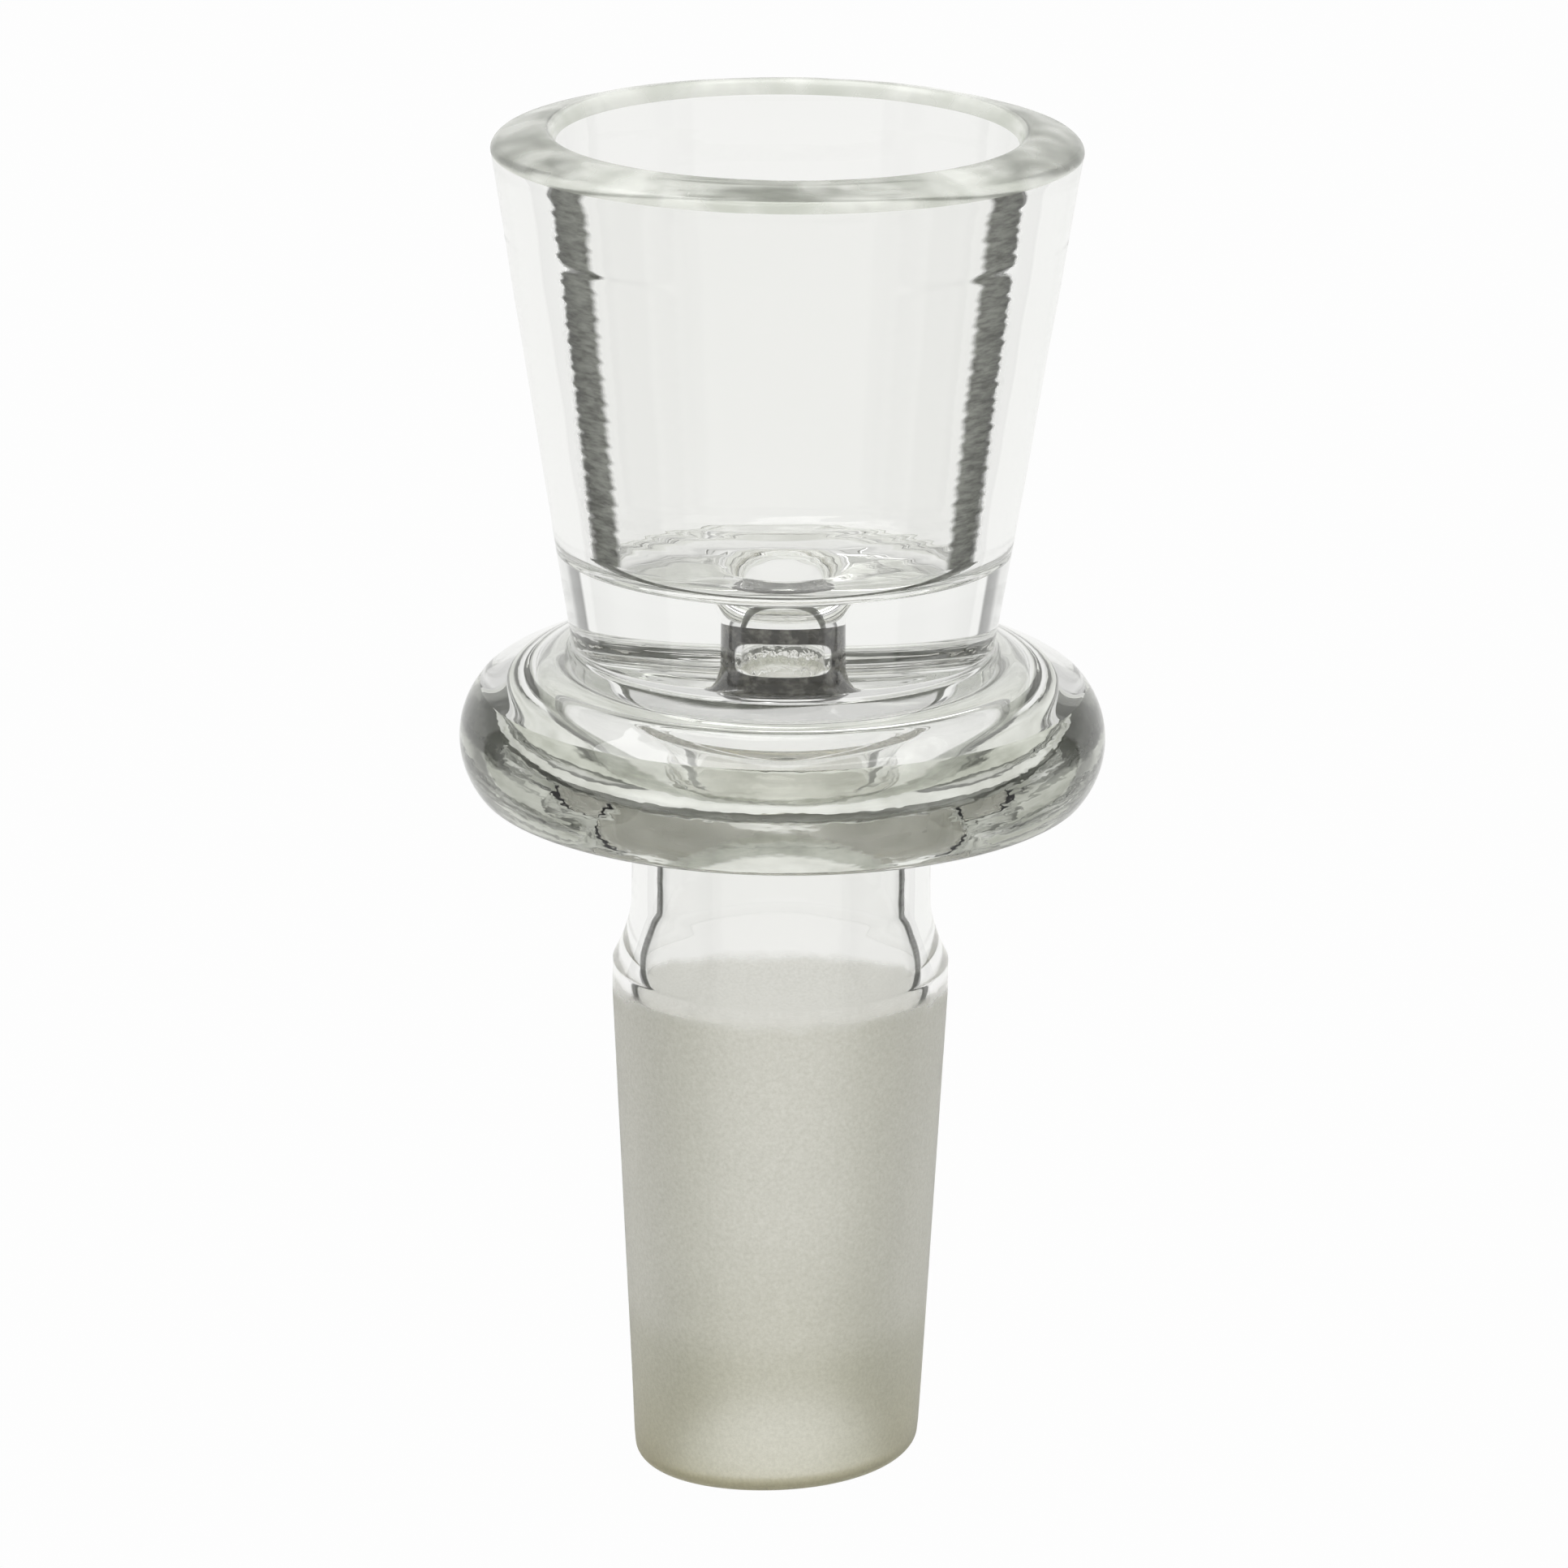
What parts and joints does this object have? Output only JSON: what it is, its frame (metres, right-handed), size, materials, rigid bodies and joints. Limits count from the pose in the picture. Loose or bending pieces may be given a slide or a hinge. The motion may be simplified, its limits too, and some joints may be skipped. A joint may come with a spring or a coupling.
{
  "type": "glass funnel bowl",
  "caption": "Heavy-wall tapered glass funnel bowl with a small draft hole in its floor, a round flange disc and a ground standard-taper cone that seats in a glass socket.",
  "frame": {"origin": "centre of the open bottom end, on the plane that the end stands on", "axes": "+Z along the one axis of revolution, from the ground cone up to the bowl's rim; X and Y are free"},
  "size_m": [0.0276, 0.0276, 0.0589],
  "materials": {
    "clear_glass": "clear borosilicate, fire-polished",
    "ground_glass": "ground, fine matt"
  },
  "bodies": {
    "root": {"ground_cone": "ground_glass", "neck_tube": "clear_glass", "flange_disc": "clear_glass", "bowl_base": "clear_glass", "bowl_wall": "clear_glass"}
  },
  "joints": []
}
